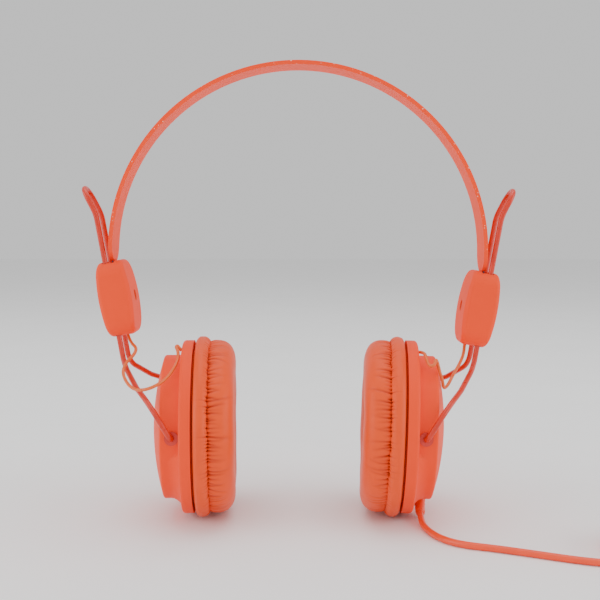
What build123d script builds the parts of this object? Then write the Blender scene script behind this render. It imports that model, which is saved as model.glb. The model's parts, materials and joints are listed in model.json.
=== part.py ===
"""Wired on-ear headphones: a sprung headband, two sliders, two bent wire yokes and two ear cups.

Millimetres and degrees. +Z is up, +X runs from the left cup to the right cup, and the wearer's
face would look along -Y. The headphones stand on the rims of their cushions, with the origin on
the ground midway between the cups.
"""

from build123d import *
import math
import os

# --- Headband -----------------------------------------------------------------------------
band_radius = 69.4          # to the middle of the strip
band_centre_x = -0.7        # the sliders' heights differ, and the band leans with them
band_centre_z = 100.0
band_width = 14.6
band_thickness = 1.5
band_end_gap = 13.6         # from a slider's centre up to the band's rounded end
spring_width = 9.6
spring_thickness = 0.5
tongue_width = 4.8          # the spring narrows to this inside the sliders
tongue_depth = 13.0         # how far the tongue reaches into a slider
core_gap = 0.05             # clearance around what is moulded into the band
crossover_radius = 0.35     # the pair of wires that crosses the band to the left cup
crossover_offset = 6.0

# --- Sliders ------------------------------------------------------------------------------
lean = 9.9                  # the sliders and the wires lean outward at the top
slider_height = 28.0
slider_depth = 19.0
slider_corner = 5.5         # corner radius in side view
slider_edge = 1.8
slider_bulge = 6.2          # half thickness at mid height
slider_taper = 1.5          # how much each face falls back towards the ends
seam_offset = 0.5
wire_offset = 1.7           # the wires run this far outward of the slider's centre
arm_offset = 5.2            # half the distance between a yoke's two arms
screw_head_radius = 1.6
screw_shank_radius = 0.8

# --- Yoke wires ---------------------------------------------------------------------------
wire_radius = 1.0
channel_radius = 1.35
kink_drop = 25.2            # along the slider's axis, from its centre to the lower bend
flare_rise = 32.1           # and to the upper bend, where the loop leans out
tip_rise = 42.4
tip_offset = 4.9
tip_bend = 5.1
shoulder = (6.4, 17.0, 6.6)     # from the kink: inward, half spread, down
leg_top = (13.1, 28.5, 11.1)
pin_reach = 25.2            # half the gap between the pins' inner ends
leg_reach = 30.0            # half the spread of the legs at the pivot
pin_bend = 2.0

# --- Cups ---------------------------------------------------------------------------------
toe_in = 3.0
pivot_rise = 1.0
pivot_back = 2.6
plate_radius = 32.6
plate_thickness = 4.2
cushion_radius = 34.0
cushion_skin = 0.8
ear_hole_radius = 14.2
ear_face = 19.7             # from the plate's back face to the ear side of the cushion
housing_radius = 27.0
housing_wall = 1.6
housing_corner = 7.0        # height of the housing's straight wall
housing_dome = 11.0
flare_start = 11.0          # the lower flare starts this far below the horizontal
flare_height = 3.9
flare_foot = 29.4           # the radius where it meets the plate
flare_root = 25.8           # and where it ends inside the wall
bush_bore = 1.06
bush_radius = 1.8
bush_flange = 2.5
driver_radius = 20.0
magnet_radius = 10.5
boss_circle = 23.0
boss_radius = 2.0
pilot_radius = 0.9

# --- Cable --------------------------------------------------------------------------------
cable_radius = 1.2
cable_length = 1200.0
boot_radius = 2.1
lead_radius = 0.5
lead_mouth_radius = 1.1
coil_centre = (121.0, -46.0)
coil_mid_radius = 13.4      # to the middle of the turns
coil_section = (9.8, 8.4)   # across the turns, and their height
tie_thickness = 0.5
tie_width = 5.0
plug_radius = 3.1
plug_length = 21.0
jack_radius = 1.75
jack_length = 14.0

boot_route = [(45.9, 0.0, 8.2), (45.9, 0.0, 2.9), (45.2, -8.0, 2.5)]
cable_route = [
    (45.2, -8.0, 2.5), (44.8, -12.6, 2.0), (44.8, -18.4, 1.25), (45.9, -25.4, 1.25),
    (48.0, -31.8, 1.25), (51.6, -37.4, 1.25), (57.0, -41.4, 1.25), (65.6, -44.4, 1.25),
    (77.4, -49.8, 1.25), (91.0, -56.4, 1.25), (103.6, -60.6, 1.4), (114.0, -62.0, 1.8),
    (120.0, -62.2, 1.9),
]
tail_route = [(138.0, -46.0, 1.9), (138.4, -41.0, 2.2), (138.2, -36.0, 3.0), (138.2, -31.5, 3.1)]
left_lead_route = [
    (-65.4, 0.0, 69.6), (-63.9, -2.4, 66.3), (-60.9, -5.4, 64.5), (-61.6, -8.0, 62.2),
    (-64.2, -9.6, 59.8), (-65.2, -12.4, 56.6), (-63.2, -16.6, 53.6), (-59.9, -21.2, 51.6),
    (-55.6, -25.2, 51.8), (-51.2, -26.0, 53.4), (-47.6, -23.0, 55.6), (-45.8, -17.6, 58.8),
    (-45.7, -12.6, 62.0), (-46.2, -9.4, 64.6),
]
right_lead_route = [
    (62.4, 0.0, 66.2), (62.0, -1.8, 62.4), (59.9, -4.4, 58.4), (56.9, -8.0, 54.9),
    (54.4, -11.8, 51.4), (52.4, -14.6, 50.6), (51.9, -15.2, 53.9), (50.9, -15.2, 56.8),
    (50.1, -15.0, 60.2), (49.2, -16.6, 61.9), (48.5, -18.6, 59.8), (46.6, -18.4, 59.4),
    (45.9, -15.8, 61.9), (45.7, -11.4, 63.6),
]

os.makedirs("parts", exist_ok=True)


class Side:
    """One side of the headphones, with the planes that its slider and its cup are drawn on."""

    def __init__(self, name, sign, slider_centre, wire_shift, lead_exit, plate_back, cup_height,
                 cup_lean):
        self.name = name
        self.sign = sign
        self.wire_shift = wire_shift
        self.lead_exit = lead_exit
        self.slider_z = slider_centre[1]
        out = Vector(sign * math.cos(math.radians(lean)), 0, -math.sin(math.radians(lean)))
        up = Vector(sign * math.sin(math.radians(lean)), 0, math.cos(math.radians(lean)))
        centre = Vector(slider_centre[0], 0, slider_centre[1])
        self.slider = Plane(origin=centre, x_dir=out, z_dir=up)
        self.slider_front = Plane(origin=centre, x_dir=out, z_dir=out.cross(up))
        self.slider_side = Plane(origin=centre, x_dir=self.slider.y_dir, z_dir=out)
        toe, tip = math.radians(toe_in), math.radians(cup_lean)
        outward = Vector(
            sign * math.cos(toe) * math.cos(tip), -math.sin(toe) * math.cos(tip), -math.sin(tip)
        )
        across = Vector(0, 0, 1).cross(outward).normalized()
        self.cup = Plane(origin=(sign * plate_back, 0, cup_height), x_dir=across, z_dir=outward)
        self.axis = Axis(self.cup.origin, outward)

    def at_slider(self, out, across, up):
        """A point by its place beside the slider's centre."""
        return self.slider.from_local_coords(Vector(out, self.sign * across, up))

    def at_cup(self, across, up, back):
        """A point by its place beside the middle of the plate's back face."""
        return self.cup.from_local_coords(Vector(self.sign * across, up, back))

    def radial(self, angle):
        """A plane through the cup's axis: its X is the radius, its Y runs outward."""
        turn = math.radians(angle)
        radius = self.cup.x_dir * math.cos(turn) + self.cup.y_dir * math.sin(turn)
        return Plane(
            origin=self.cup.origin, x_dir=radius, z_dir=radius.cross(self.cup.z_dir)
        )


left = Side("left", -1, (-68.3, 83.0), 0.0, -1.0, 44.3, 34.0, 0.0)
right = Side("right", 1, (66.9, 79.0), 3.0, -2.1, 43.4, 33.8, 1.9)
sides = [left, right]


def keep(piece, name):
    """Label a finished piece and write it under its node name."""
    piece.part.label = name
    export_step(piece.part, f"parts/{name}.step")
    return piece.part


def corner_radii(route, share=0.45):
    """The largest arc that each corner of a route has room for."""
    points = [Vector(*point) for point in route]
    radii = []
    for before, corner, after in zip(points, points[1:], points[2:]):
        inward, outward = corner - before, after - corner
        turn = math.radians(inward.get_angle(outward))
        radii.append(share * min(inward.length, outward.length) / math.tan(turn / 2))
    return radii


def round_tube(route, radii, radius, name):
    """A round rod swept along straight runs joined by arcs."""
    with BuildPart() as tube:
        with BuildLine() as path:
            FilletPolyline(*route, radius=radii)
        with BuildSketch(Plane(origin=path.line @ 0, z_dir=path.line % 0)):
            Circle(radius)
        sweep()
    length = path.wire().length
    section = math.pi * radius**2
    print(f"{name}: length {length:.1f}, volume {tube.part.volume:.1f} of {section * length:.1f}")
    return tube, length


def band_side(side):
    """Where the band's straight run into a slider stands."""
    return band_centre_x + side.sign * band_radius


def strip(width, thickness, offset=0.0):
    """A flat strip that follows the whole band, down into both sliders."""
    with BuildPart() as swept:
        with BuildLine() as path:
            low_left = (band_side(left), offset, left.slider_z + band_end_gap - tongue_depth)
            low_right = (band_side(right), offset, right.slider_z + band_end_gap - tongue_depth)
            spring_left = (band_side(left), offset, band_centre_z)
            spring_right = (band_side(right), offset, band_centre_z)
            Line(low_left, spring_left)
            crown = (band_centre_x, offset, band_centre_z + band_radius)
            ThreePointArc(spring_left, crown, spring_right)
            Line(spring_right, low_right)
        with BuildSketch(Plane(origin=low_left, x_dir=(0, 1, 0), z_dir=(0, 0, 1))):
            Rectangle(width, thickness)
        sweep()
    return swept.part


# --- Headband -----------------------------------------------------------------------------
spring_strip = strip(spring_width, spring_thickness)
tongue_strip = strip(tongue_width, spring_thickness)
skin_strip = strip(band_width, band_thickness)
skin_bore = strip(spring_width + 2 * core_gap, spring_thickness + 2 * core_gap)
tongue_bore = strip(tongue_width + 2 * core_gap, spring_thickness + 2 * core_gap)


def rounded_ends(width, inset):
    """What is cut from a strip of this width to leave half-round ends above the sliders."""
    with BuildPart() as waste:
        for side in sides:
            end = side.slider_z + band_end_gap + inset
            with BuildSketch(Plane.YZ.offset(band_side(side))):
                with Locations((0, end - width)):
                    Rectangle(2 * width, 3 * width)
                with Locations((0, end + width / 2)):
                    Circle(width / 2, mode=Mode.SUBTRACT)
                with Locations((0, end + width)):
                    Rectangle(width, width, mode=Mode.SUBTRACT)
            extrude(amount=2 * width, both=True)
    return waste.part


with BuildPart() as core:
    add(spring_strip)
    add(rounded_ends(spring_width, 1.6), mode=Mode.SUBTRACT)
    add(tongue_strip)
    for side in sides:
        with Locations(Plane(side.at_slider(0, 0, 0), z_dir=side.slider.x_dir)):
            Cylinder(screw_shank_radius + 0.1, 4 * slider_bulge, mode=Mode.SUBTRACT)
headband_spring = keep(core, "headband_spring")

with BuildPart() as core_room:
    add(skin_bore)
    add(rounded_ends(spring_width, 1.5), mode=Mode.SUBTRACT)
    add(tongue_bore)

with BuildPart() as crossover:
    with BuildLine() as crossover_path:
        start = (band_side(left), crossover_offset, left.slider_z + band_end_gap + 4)
        finish = (band_side(right), crossover_offset, right.slider_z + band_end_gap + 4)
        shoulder_left = (band_side(left), crossover_offset, band_centre_z + 1)
        shoulder_right = (band_side(right), crossover_offset, band_centre_z + 1)
        crown = (band_centre_x, crossover_offset, band_centre_z + band_radius)
        Line(start, shoulder_left)
        ThreePointArc(shoulder_left, crown, shoulder_right)
        Line(shoulder_right, finish)
    with BuildSketch(Plane(origin=start, z_dir=(0, 0, 1))):
        Circle(crossover_radius)
    sweep()

with BuildPart() as crossover_room:
    with BuildLine():
        Line(start, shoulder_left)
        ThreePointArc(shoulder_left, crown, shoulder_right)
        Line(shoulder_right, finish)
    with BuildSketch(Plane(origin=start, z_dir=(0, 0, 1))):
        Circle(crossover_radius + core_gap)
    sweep()
keep(crossover, "crossover_wires")

with BuildPart() as skin:
    add(skin_strip)
    add(rounded_ends(band_width, 0), mode=Mode.SUBTRACT)
    add(core_room.part, mode=Mode.SUBTRACT)
    add(crossover_room.part, mode=Mode.SUBTRACT)
keep(skin, "headband_cover")


# --- Sliders ------------------------------------------------------------------------------
def slider_block(side):
    """The two slider shells as one block, hollowed for the wires, the tongue and the screw."""
    half, end = slider_height / 2, slider_bulge - slider_taper
    with BuildPart() as block:
        with BuildSketch(side.slider_front):
            with BuildLine():
                ThreePointArc((end, -half), (slider_bulge, 0), (end, half))
                Line((end, half), (-end, half))
                ThreePointArc((-end, half), (-slider_bulge, 0), (-end, -half))
                Line((-end, -half), (end, -half))
            make_face()
        extrude(amount=slider_depth / 2, both=True)
        with BuildSketch(side.slider_side):
            RectangleRounded(slider_depth, slider_height, slider_corner)
        extrude(amount=slider_bulge, both=True, mode=Mode.INTERSECT)
        fillet(block.edges(), slider_edge)
        # Two channels for the yoke's arms
        with BuildSketch(side.slider):
            for across in (-arm_offset, arm_offset):
                with Locations((wire_offset, across)):
                    Circle(channel_radius)
        extrude(amount=slider_height, both=True, mode=Mode.SUBTRACT)
        # The slot that takes the headband's tongue, and the recess around its mouth
        top = side.slider_z + slider_height / 2
        with Locations((band_side(side), 0, top - tongue_depth / 2 - 0.2)):
            Box(spring_thickness + 0.4, tongue_width + 0.3, tongue_depth + 3, mode=Mode.SUBTRACT)
        with Locations((band_side(side), 0, side.slider_z + band_end_gap + 1.7)):
            Box(band_thickness + 0.6, band_width + 0.6, 4, mode=Mode.SUBTRACT)
        # The pocket of the friction pad, between the arms
        with BuildSketch(side.slider.offset(-11)):
            with Locations((wire_offset, 0)):
                Rectangle(2.6, 6.2)
        extrude(amount=6, mode=Mode.SUBTRACT)
        # The screw, from the inner face
        with BuildSketch(side.slider_side):
            Circle(screw_shank_radius + 0.05)
        extrude(amount=3.6, both=True, mode=Mode.SUBTRACT)
        with BuildSketch(side.slider_side.offset(-3.6)):
            Ellipse(screw_head_radius + 0.1, screw_head_radius + 0.6)
        extrude(amount=-slider_bulge, mode=Mode.SUBTRACT)
        # The signal lead's exit, below
        mouth = side.at_slider(side.lead_exit, 0, -slider_height / 2)
        with Locations(Plane(mouth, z_dir=side.slider.z_dir)):
            Cylinder(lead_mouth_radius, 8, mode=Mode.SUBTRACT)
    return block.part


for side in sides:
    block = slider_block(side)
    seam = Plane(side.at_slider(seam_offset, 0, 0), z_dir=side.slider.x_dir)
    for name, half in (("outer", Keep.TOP), ("inner", Keep.BOTTOM)):
        with BuildPart() as shell:
            add(block)
            split(bisect_by=seam, keep=half)
        with BuildPart() as whole:
            # Leaves out the thin chip that the slot and the seam cut off between them
            add(shell.solids().sort_by(SortBy.VOLUME)[-1])
        keep(whole, f"{side.name}_slider_{name}_shell")

    with BuildPart() as screw:
        with BuildSketch(side.slider_side.offset(-4.9)):
            Circle(screw_head_radius)
        extrude(amount=1.2)
        with BuildSketch(side.slider_side.offset(-3.8)):
            Circle(screw_shank_radius)
        extrude(amount=7.2)
        with BuildSketch(side.slider_side.offset(-4.9)):
            Rectangle(0.5, 2.0)
            Rectangle(2.0, 0.5)
        extrude(amount=0.6, mode=Mode.SUBTRACT)
    keep(screw, f"{side.name}_slider_screw")

    with BuildPart() as pad:
        with BuildSketch(side.slider.offset(-10.9)):
            with Locations((wire_offset, 0)):
                Rectangle(2.4, 6.0)
                for across in (-arm_offset, arm_offset):
                    with Locations((0, across)):
                        Circle(wire_radius + 0.32, mode=Mode.SUBTRACT)
        extrude(amount=5.8)
    keep(pad, f"{side.name}_slider_friction_pad")


# --- Yoke wires ---------------------------------------------------------------------------
def yoke_arm(side, facing):
    """The corners of one arm, from its pin up to the loop; facing is -1 in front, 1 behind."""
    rise = side.wire_shift
    kink = side.at_slider(wire_offset, facing * arm_offset, rise - kink_drop)
    corners = [
        side.at_cup(facing * pin_reach, pivot_rise, pivot_back),
        side.at_cup(facing * leg_reach, pivot_rise, pivot_back),
    ]
    for inward, spread, down in (leg_top, shoulder):
        corners.append(Vector(kink.X - side.sign * inward, facing * spread, kink.Z - down))
    corners.append(kink)
    corners.append(side.at_slider(wire_offset, facing * arm_offset, rise + flare_rise))
    corners.append(side.at_slider(tip_offset, facing * arm_offset, rise + tip_rise))
    return corners


for side in sides:
    route = yoke_arm(side, -1) + yoke_arm(side, 1)[::-1]
    bends = [pin_bend, 14.0, 9.0, 7.0, 16.0, tip_bend]
    wire, wire_length = round_tube(route, bends + bends[::-1], wire_radius, f"{side.name} yoke")
    keep(wire, f"{side.name}_yoke_wire")


# --- Cups ---------------------------------------------------------------------------------
def cushion_outline(inset):
    """The cushion's half section, drawn inward from its skin by the inset."""
    lip, seam_radius = cushion_radius - inset, 32.0 - inset
    hole = ear_hole_radius + inset
    back, face = -4.7 - inset, -ear_face + inset
    Line((hole, back), (31.4, back))
    ThreePointArc((31.4, back), (lip, -7.3), (seam_radius, -9.9))
    Spline((seam_radius, -9.9), (32.6 - inset, -13.4), (30.2 - inset, -17.7), (25.0, face),
           (18.2 + inset, -18.2 + inset), (hole, -14.6))
    Line((hole, -14.6), (hole, back))


def dome_cap(radius, rise, base):
    """A spherical arc from the rim of a dome to its top, on the cup's axis."""
    sphere = (radius**2 + rise**2) / (2 * rise)
    middle = base + rise - sphere + math.sqrt(sphere**2 - (radius / 2) ** 2)
    ThreePointArc((radius, base), (radius / 2, middle), (0, base + rise))


def cup_parts(side):
    """Every piece of one ear cup."""
    made = {}
    section = side.radial(70)

    with BuildPart() as cover:
        with BuildSketch(section):
            with BuildLine():
                cushion_outline(0)
            make_face()
        revolve(axis=side.axis)
        with BuildSketch(section):
            with BuildLine():
                cushion_outline(cushion_skin)
            make_face()
        revolve(axis=side.axis, mode=Mode.SUBTRACT)
        with BuildSketch(side.cup.offset(-6.6)):
            Circle(16.0)
        extrude(amount=1.0, mode=Mode.SUBTRACT)
    made["cushion_cover"] = cover

    with BuildPart() as foam:
        with BuildSketch(section):
            with BuildLine():
                cushion_outline(cushion_skin + 0.1)
            make_face()
            with Locations((24, -5)):
                Rectangle(30, 3.4, mode=Mode.SUBTRACT)
        revolve(axis=side.axis)
    made["cushion_foam"] = foam

    with BuildPart() as ring:
        with BuildSketch(side.cup.offset(-6.5)):
            Circle(30.6)
            Circle(14.4, mode=Mode.SUBTRACT)
        extrude(amount=0.8)
    made["cushion_ring"] = ring

    with BuildPart() as scrim:
        with BuildSketch(side.cup.offset(-6.3)):
            Circle(14.3)
        extrude(amount=0.4)
    made["ear_scrim"] = scrim

    with BuildPart() as plate:
        with BuildSketch(side.cup.offset(-plate_thickness)):
            Circle(plate_radius)
        extrude(amount=plate_thickness)
        fillet(plate.edges().sort_by(side.axis)[-1], 1.2)
        with BuildSketch(side.cup.offset(-plate_thickness - 0.4)):
            Circle(29.0)
            Circle(26.0, mode=Mode.SUBTRACT)
        extrude(amount=0.4)
        with BuildSketch(side.cup.offset(-plate_thickness)):
            Circle(17.0)
        extrude(amount=plate_thickness, mode=Mode.SUBTRACT)
        with BuildSketch(side.cup.offset(-2.0)):
            Circle(driver_radius + 0.1)
        extrude(amount=2.0, mode=Mode.SUBTRACT)
        with BuildSketch(side.cup.offset(-plate_thickness)):
            with PolarLocations(boss_circle, 4, 45):
                Circle(pilot_radius + 0.2)
        extrude(amount=plate_thickness, mode=Mode.SUBTRACT)
        with BuildSketch(side.cup.offset(-plate_thickness)):
            with PolarLocations(boss_circle, 4, 45):
                Circle(2.2)
        extrude(amount=1.6, mode=Mode.SUBTRACT)
    made["baffle_plate"] = plate

    with BuildPart() as grille:
        with BuildSketch(side.cup.offset(-plate_thickness + 0.1)):
            Circle(16.9)
            with HexLocations(1.5, 9, 9):
                Circle(0.8, mode=Mode.SUBTRACT)
        extrude(amount=0.8)
    made["driver_grille"] = grille

    with BuildPart() as diaphragm:
        with BuildSketch(section):
            with BuildLine():
                Polyline((0, -2.4), (5.0, -1.7), (6.4, -0.9), (6.4, 1.6), (6.7, 1.6), (6.7, -0.8),
                         (11.5, -1.9), (15.8, -1.2), (15.8, -1.4), (11.5, -2.2), (6.0, -1.2),
                         (5.2, -1.9), (0, -2.7), (0, -2.4))
            make_face()
        revolve(axis=side.axis)
    made["driver_diaphragm"] = diaphragm

    with BuildPart() as basket:
        with BuildSketch(section):
            with BuildLine():
                Polyline((16.0, -1.9), (driver_radius, -1.9), (driver_radius, 0), (16.4, 0.2),
                         (14.0, 2.6), (magnet_radius + 0.6, 2.6), (magnet_radius + 0.6, 1.8),
                         (13.6, 1.8), (16.0, -0.6), (16.0, -1.9))
            make_face()
        revolve(axis=side.axis)
        with BuildSketch(side.cup.offset(1.0)):
            with PolarLocations(12.6, 6):
                Circle(0.8)
        extrude(amount=3, mode=Mode.SUBTRACT)
    made["driver_basket"] = basket

    with BuildPart() as magnet:
        with BuildSketch(side.cup.offset(0.4)):
            Circle(magnet_radius)
            Circle(7.2, mode=Mode.SUBTRACT)
        extrude(amount=4.6)
        with BuildSketch(side.cup.offset(2.6)):
            Circle(8.0)
        extrude(amount=2.4)
        with BuildSketch(side.cup.offset(0.4)):
            Circle(5.9)
        extrude(amount=2.4)
    made["driver_magnet"] = magnet

    with BuildPart() as screws:
        with BuildSketch(side.cup.offset(-plate_thickness + 0.3)):
            with PolarLocations(boss_circle, 4, 45):
                Circle(1.9)
        extrude(amount=1.2)
        with BuildSketch(side.cup.offset(-plate_thickness + 1.4)):
            with PolarLocations(boss_circle, 4, 45):
                Circle(pilot_radius)
        extrude(amount=6.4)
    made["cup_screws"] = screws

    with BuildPart() as housing:
        rim, inner = housing_radius - 0.8, housing_radius - housing_wall
        rise = housing_dome - housing_corner
        with BuildSketch(section):
            with BuildLine():
                Line((inner, 0), (housing_radius, 0))
                Line((housing_radius, 0), (housing_radius, housing_corner - 0.8))
                ThreePointArc((housing_radius, housing_corner - 0.8),
                              (housing_radius - 0.24, housing_corner - 0.24),
                              (rim, housing_corner))
                dome_cap(rim, rise, housing_corner)
                Line((0, housing_dome), (0, housing_dome - housing_wall))
                dome_cap(inner, rise, housing_corner - housing_wall)
                Line((inner, housing_corner - housing_wall), (inner, 0))
            make_face()
        revolve(axis=side.axis)
        with BuildSketch(side.radial(flare_start - 180)):
            with BuildLine():
                Line((flare_root, 0), (flare_foot, 0))
                Line((flare_foot, 0), (flare_foot, 0.4))
                ThreePointArc((flare_foot, 0.4), (27.8, 1.5), (housing_radius, flare_height))
                Line((housing_radius, flare_height), (flare_root, flare_height))
                Line((flare_root, flare_height), (flare_root, 0))
            make_face()
        revolve(axis=side.axis, revolution_arc=180 - 2 * flare_start)
        with BuildSketch(side.cup):
            with PolarLocations(boss_circle, 4, 45):
                Circle(boss_radius)
        extrude(amount=housing_corner)
        with BuildSketch(side.cup):
            with PolarLocations(boss_circle, 4, 45):
                Circle(pilot_radius + 0.02)
        extrude(amount=4.4, mode=Mode.SUBTRACT)
        with Locations(Plane(side.at_cup(0, pivot_rise, pivot_back), z_dir=side.cup.x_dir)):
            Cylinder(bush_radius, 4 * housing_radius, mode=Mode.SUBTRACT)
        if side is right:
            with Locations((boot_route[0][0], boot_route[0][1], 7.0)):
                Cylinder(boot_radius + 0.05, 8, mode=Mode.SUBTRACT)
    made["rear_housing"] = housing

    with BuildPart() as bushes:
        for facing in (-1, 1):
            inner = side.at_cup(facing * (housing_radius - 2.0), pivot_rise, pivot_back)
            outer = side.at_cup(facing * (housing_radius + 0.05), pivot_rise, pivot_back)
            away = side.cup.x_dir * (facing * side.sign)
            with BuildSketch(Plane(inner, z_dir=away)):
                Circle(bush_radius - 0.02)
                Circle(bush_bore, mode=Mode.SUBTRACT)
            extrude(amount=2.05)
            with BuildSketch(Plane(outer, z_dir=away)):
                Circle(bush_flange)
                Circle(bush_bore, mode=Mode.SUBTRACT)
            extrude(amount=0.65)
    made["pivot_bushes"] = bushes

    for name, piece in made.items():
        keep(piece, f"{side.name}_{name}")


for side in sides:
    cup_parts(side)

with BuildPart() as board:
    with BuildSketch(right.cup.offset(4.4)):
        with Locations((0, -17.6)):
            Rectangle(12, 6)
    extrude(amount=1.0)
keep(board, "terminal_board")

# --- Signal leads -------------------------------------------------------------------------
for side, route, end in ((left, left_lead_route, 30.8), (right, right_lead_route, 29.6)):
    full = route + [tuple(side.at_cup(-8.2, end, 0.05))]
    radii = corner_radii(full)
    lead, lead_length = round_tube(full, radii, lead_radius, f"{side.name} lead")
    print("  arc radii", [round(radius, 1) for radius in radii])
    keep(lead, f"{side.name}_signal_lead")

# --- Cable --------------------------------------------------------------------------------
boot, boot_length = round_tube(boot_route, [3.4], boot_radius, "strain relief")
keep(boot, "strain_relief")
cable, laid_length = round_tube(cable_route, corner_radii(cable_route), cable_radius, "cable")
print("  arc radii", [round(radius, 1) for radius in corner_radii(cable_route)])
keep(cable, "main_cable")
tail, tail_length = round_tube(tail_route, corner_radii(tail_route), cable_radius, "tail")
print("  arc radii", [round(radius, 1) for radius in corner_radii(tail_route)])
keep(tail, "cable_tail")
turns = (cable_length - laid_length - tail_length) / (2 * math.pi * coil_mid_radius)
print(f"coil: {turns:.2f} turns")

coil_floor = tie_thickness + 0.05
with BuildPart() as coil:
    with BuildSketch(Plane.XY.offset(coil_floor)):
        with Locations(coil_centre):
            Circle(coil_mid_radius + coil_section[0] / 2)
            Circle(coil_mid_radius - coil_section[0] / 2, mode=Mode.SUBTRACT)
    extrude(amount=coil_section[1])
    fillet(coil.edges(), 2.4)
keep(coil, "cable_coil")

with BuildPart() as tie:
    middle = (coil_centre[0], coil_centre[1] + coil_mid_radius, coil_floor + coil_section[1] / 2)
    with BuildSketch(Plane(origin=middle, x_dir=(0, 1, 0), z_dir=(1, 0, 0))):
        span, height = coil_section[0] + 1.0, coil_section[1] + 0.1
        RectangleRounded(span + 2 * tie_thickness, height + 2 * tie_thickness, 1.4)
        RectangleRounded(span, height, 0.9, mode=Mode.SUBTRACT)
    extrude(amount=tie_width / 2, both=True)
keep(tie, "cable_tie")

with BuildPart() as plug_body:
    with BuildSketch(Plane(origin=tail_route[-1], z_dir=(0, 1, 0))):
        Circle(plug_radius)
    extrude(amount=plug_length)
    fillet(plug_body.edges().sort_by(Axis.Y)[0], 1.0)
    fillet(plug_body.edges().sort_by(Axis.Y)[-1], 0.5)
keep(plug_body, "plug_body")

jack_start = tail_route[-1][1] + plug_length
with BuildPart() as jack:
    nose = (tail_route[-1][0], jack_start, tail_route[-1][2])
    with BuildSketch(Plane(origin=nose, x_dir=(1, 0, 0), z_dir=(0, 0, 1))):
        with BuildLine():
            Polyline((0, 0), (jack_radius, 0), (jack_radius, jack_length - 4.2),
                     (jack_radius - 0.5, jack_length - 3.4), (jack_radius, jack_length - 2.4),
                     (0.5, jack_length), (0, jack_length), (0, 0))
        make_face()
    revolve(axis=Axis(nose, (0, 1, 0)))
keep(jack, "jack_contacts")
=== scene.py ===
"""On-ear headphones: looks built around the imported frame, laid out as an add-on."""

import json
import math
import random

import bmesh
import bpy
import numpy as np
from mathutils import Matrix, Vector


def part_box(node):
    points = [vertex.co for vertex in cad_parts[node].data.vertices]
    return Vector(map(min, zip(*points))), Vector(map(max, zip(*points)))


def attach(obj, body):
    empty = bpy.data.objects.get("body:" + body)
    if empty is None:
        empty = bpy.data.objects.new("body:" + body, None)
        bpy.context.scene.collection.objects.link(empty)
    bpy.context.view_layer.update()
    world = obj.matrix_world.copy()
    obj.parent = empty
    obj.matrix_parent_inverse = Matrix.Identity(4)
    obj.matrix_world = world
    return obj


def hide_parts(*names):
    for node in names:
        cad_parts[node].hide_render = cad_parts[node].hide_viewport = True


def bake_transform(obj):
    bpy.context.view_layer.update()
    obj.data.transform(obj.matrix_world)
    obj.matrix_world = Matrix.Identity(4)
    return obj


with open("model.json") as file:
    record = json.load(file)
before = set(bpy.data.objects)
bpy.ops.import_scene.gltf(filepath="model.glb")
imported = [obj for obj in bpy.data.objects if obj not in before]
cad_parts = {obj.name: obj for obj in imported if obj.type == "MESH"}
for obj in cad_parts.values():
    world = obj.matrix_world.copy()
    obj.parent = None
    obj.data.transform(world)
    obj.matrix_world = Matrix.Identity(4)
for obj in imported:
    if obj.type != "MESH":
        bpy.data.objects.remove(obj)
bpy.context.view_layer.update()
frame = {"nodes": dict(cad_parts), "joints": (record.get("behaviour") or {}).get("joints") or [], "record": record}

bl_info = {
    "name": "On-ear headphones",
    "version": (1, 0, 0),
    "blender": (4, 5, 0),
    "location": "3D View > Sidebar > Headphones",
    "description": "Builds cushions, cords and finishes around a headphone frame",
    "category": "Object",
}

MM = 0.001
SIDES = ("left", "right")
SIGN = {"left": -1, "right": 1}

# The cups' places, in millimetres and degrees, as the frame has them
CUP_LEAN = {"left": 0.0, "right": 1.9}
PIVOT_RISE = 1.0
PIVOT_BACK = 2.6

# Routes of the cords, in millimetres
CABLE_ROUTE = [
    (45.2, -8.0, 2.5), (44.8, -12.6, 2.0), (44.8, -18.4, 1.25), (45.9, -25.4, 1.25),
    (48.0, -31.8, 1.25), (51.6, -37.4, 1.25), (57.0, -41.4, 1.25), (65.6, -44.4, 1.25),
    (77.4, -49.8, 1.25), (91.0, -56.4, 1.25), (103.6, -60.6, 1.4), (114.0, -62.4, 1.8),
]
TAIL_ROUTE = [(139.3, -44.0, 5.4), (139.1, -39.4, 3.6), (138.4, -35.2, 3.1), (138.2, -31.5, 3.1)]
BOOT_ROUTE = [(45.9, 0.0, 8.2), (45.9, 0.0, 2.9), (45.2, -8.0, 2.5)]
LEAD_ROUTES = {
    "left": [
        (-65.4, 0.0, 69.6), (-63.9, -2.4, 66.3), (-60.9, -5.4, 64.5), (-61.6, -8.0, 62.2),
        (-64.2, -9.6, 59.8), (-65.2, -12.4, 56.6), (-63.2, -16.6, 53.6), (-59.9, -21.2, 51.6),
        (-55.6, -25.2, 51.8), (-51.2, -26.0, 53.4), (-47.6, -23.0, 55.6), (-45.3, -17.6, 58.8),
        (-44.6, -12.6, 61.4), (-45.0, -9.8, 64.0), (-45.9, -8.8, 65.2), (-45.5, -8.2, 65.8),
        (-44.7, -8.2, 64.9), (-43.9, -8.2, 63.8),
    ],
    "right": [
        (62.4, 0.0, 66.2), (62.0, -1.8, 62.4), (59.9, -4.4, 58.4), (56.9, -8.0, 54.9),
        (54.4, -11.8, 51.4), (52.4, -14.6, 50.6), (51.9, -15.2, 53.9), (50.9, -15.2, 56.8),
        (50.1, -15.0, 60.2), (49.2, -16.6, 61.9), (48.5, -18.6, 59.8), (46.6, -18.4, 59.4),
        (45.9, -15.8, 61.9), (45.7, -11.4, 63.6), (44.4, -8.4, 63.3),
    ],
}
LEAD_SPLIT = {"left": 0.47, "right": 0.20}      # the share of a lead's points above its join

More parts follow.
